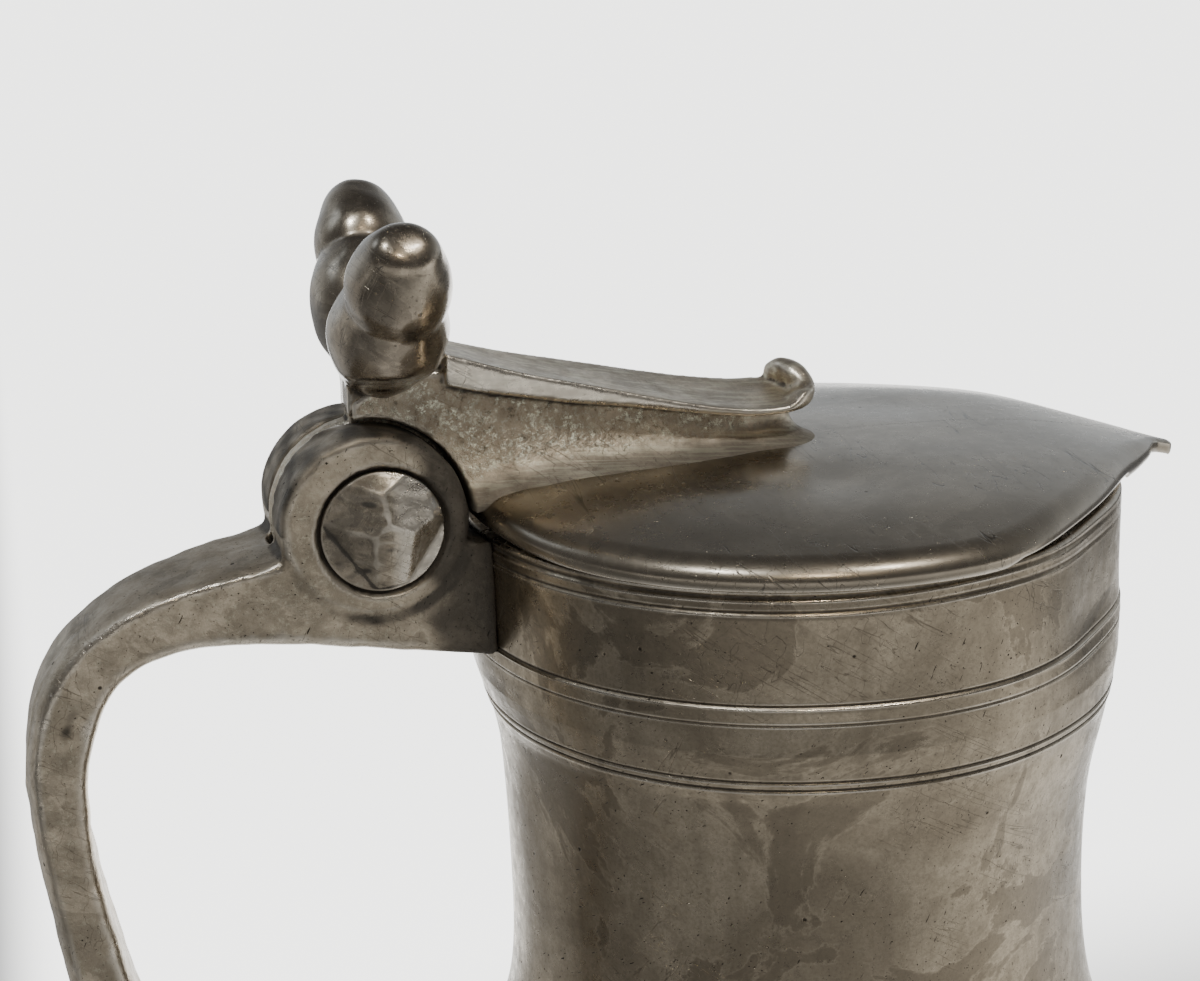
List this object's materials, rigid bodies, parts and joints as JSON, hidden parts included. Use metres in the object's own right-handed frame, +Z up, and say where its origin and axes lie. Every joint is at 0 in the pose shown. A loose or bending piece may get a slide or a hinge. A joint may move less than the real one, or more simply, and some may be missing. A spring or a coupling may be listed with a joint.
{
  "type": "lidded pewter tankard",
  "caption": "Lidded pewter tankard: baluster body with reeded collar, strap handle, and a hinged heart-shaped lid lifted by a twin-acorn thumbpiece.",
  "frame": {"origin": "centre of the flat base, on the body's axis, on the surface that it stands on", "axes": "+Z up along the body's axis; +X towards the tip of the heart-shaped lid, away from the handle; the lid's hinge axis runs along Y"},
  "size_m": [0.1657, 0.116, 0.2386],
  "materials": {
    "pewter_body": "aged pewter, worn satin with dark oxide in the reed lines, pits and drip stains",
    "pewter_handle": "aged pewter, darker and smoother from handling",
    "pewter_hinge": "aged pewter, hammered and burnished on the ridges",
    "pewter_lid": "aged pewter, polished by handling, bright worn edge",
    "pewter_rib": "as-cast pewter, grainy, with burnished strip edges"
  },
  "bodies": {
    "vessel": {"body_upper": "pewter_body", "body_lower": "pewter_body", "foot_ring": "pewter_body", "base_disc": "pewter_body", "handle": "pewter_handle", "hinge_pin": "pewter_hinge", "pin_plug_left": "pewter_hinge", "pin_plug_right": "pewter_hinge"},
    "lid": {"lid_plate": "pewter_lid", "lid_rib": "pewter_rib", "thumbpiece": "pewter_lid"}
  },
  "joints": [
    {"name": "lid_hinge", "type": "hinge", "parent": "vessel", "child": "lid", "pos_m": [-0.0593, 0, 0.1985], "axis": [0, -1, 0], "range_deg": [0, 85]}
  ]
}
